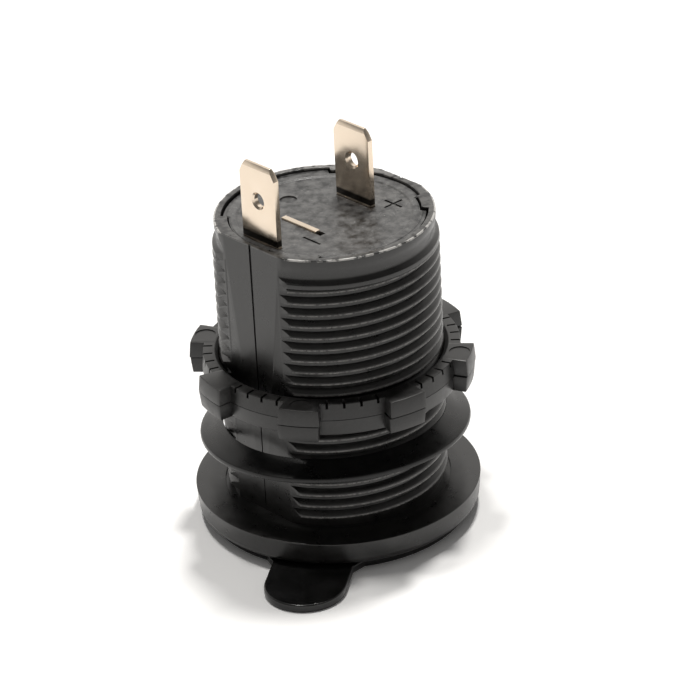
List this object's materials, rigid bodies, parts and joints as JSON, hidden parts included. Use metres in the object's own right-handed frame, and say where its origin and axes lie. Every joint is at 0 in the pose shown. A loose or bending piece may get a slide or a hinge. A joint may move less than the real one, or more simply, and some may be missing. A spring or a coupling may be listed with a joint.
{
  "type": "car usb charging socket",
  "caption": "Round panel-mount USB charging socket with a threaded flat-sided barrel, lugged lock nut, gasket, blade terminals and a hinged dust cap.",
  "frame": {"origin": "on the barrel axis, at the back face of the flange, where the panel is seated", "axes": "+Z along the barrel towards the terminals; the deep flat faces -Y and the shallow one +Y; the part stands on its closed dust cap"},
  "size_m": [0.0372, 0.0423, 0.0524],
  "materials": {
    "satin_black_plastic": "satin moulded black",
    "scuffed_black_plastic": "rubbed black plastic with a fine sheen",
    "plated_blade": "tin plated brass, lightly brushed",
    "nut_plastic": "satin moulded black",
    "black_rubber": "smooth black rubber",
    "face_plastic": "satin moulded black",
    "port_steel": "bright plated steel",
    "white_insulator": "white insulator",
    "gold_contact": "gold plated",
    "green_board": "green solder mask",
    "chip_resin": "black moulding resin",
    "ferrite": "grey ferrite",
    "copper_wire": "enamelled copper",
    "capacitor_sleeve": "shrink sleeve",
    "fuse_coat": "epoxy coat",
    "led_case": "white case",
    "clear_pipe": "clear moulded",
    "soft_cap_plastic": "smooth black, slightly glossy"
  },
  "bodies": {
    "socket": {"housing": "satin_black_plastic", "end_plate": "scuffed_black_plastic", "positive_blade": "plated_blade", "negative_blade": "plated_blade", "spare_tab": "plated_blade", "front_face": "face_plastic", "upper_shell": "port_steel", "lower_shell": "port_steel", "upper_tongue": "white_insulator", "lower_tongue": "white_insulator", "upper_contacts": "gold_contact", "lower_contacts": "gold_contact", "main_board": "green_board", "converter_chip": "chip_resin", "port_chip": "chip_resin", "inductor_core": "ferrite", "inductor_coil": "copper_wire", "input_capacitor": "capacitor_sleeve", "output_capacitor": "capacitor_sleeve", "rectifier_diode": "chip_resin", "resettable_fuse": "fuse_coat", "chip_resistors": "chip_resin", "status_led": "led_case", "light_pipe": "clear_pipe", "hinge_pin": "port_steel"},
    "nut": {"lock_nut": "nut_plastic"},
    "seal": {"gasket": "black_rubber"},
    "cap": {"dust_cap": "soft_cap_plastic"}
  },
  "joints": [
    {"name": "nut_turn", "type": "hinge", "parent": "socket", "child": "nut", "pos_m": [0, 0, 0.0168], "axis": [0, 0, 1], "continuous": true},
    {"name": "gasket_slide", "type": "slide", "parent": "socket", "child": "seal", "axis": [0, 0, 1], "range_m": [-0.006, 0.0042]},
    {"name": "cap_hinge", "type": "hinge", "parent": "socket", "child": "cap", "pos_m": [-0.01022, 0.01433, -0.00315], "axis": [0.8141, 0.5807, 0], "range_deg": [0, 135]}
  ]
}
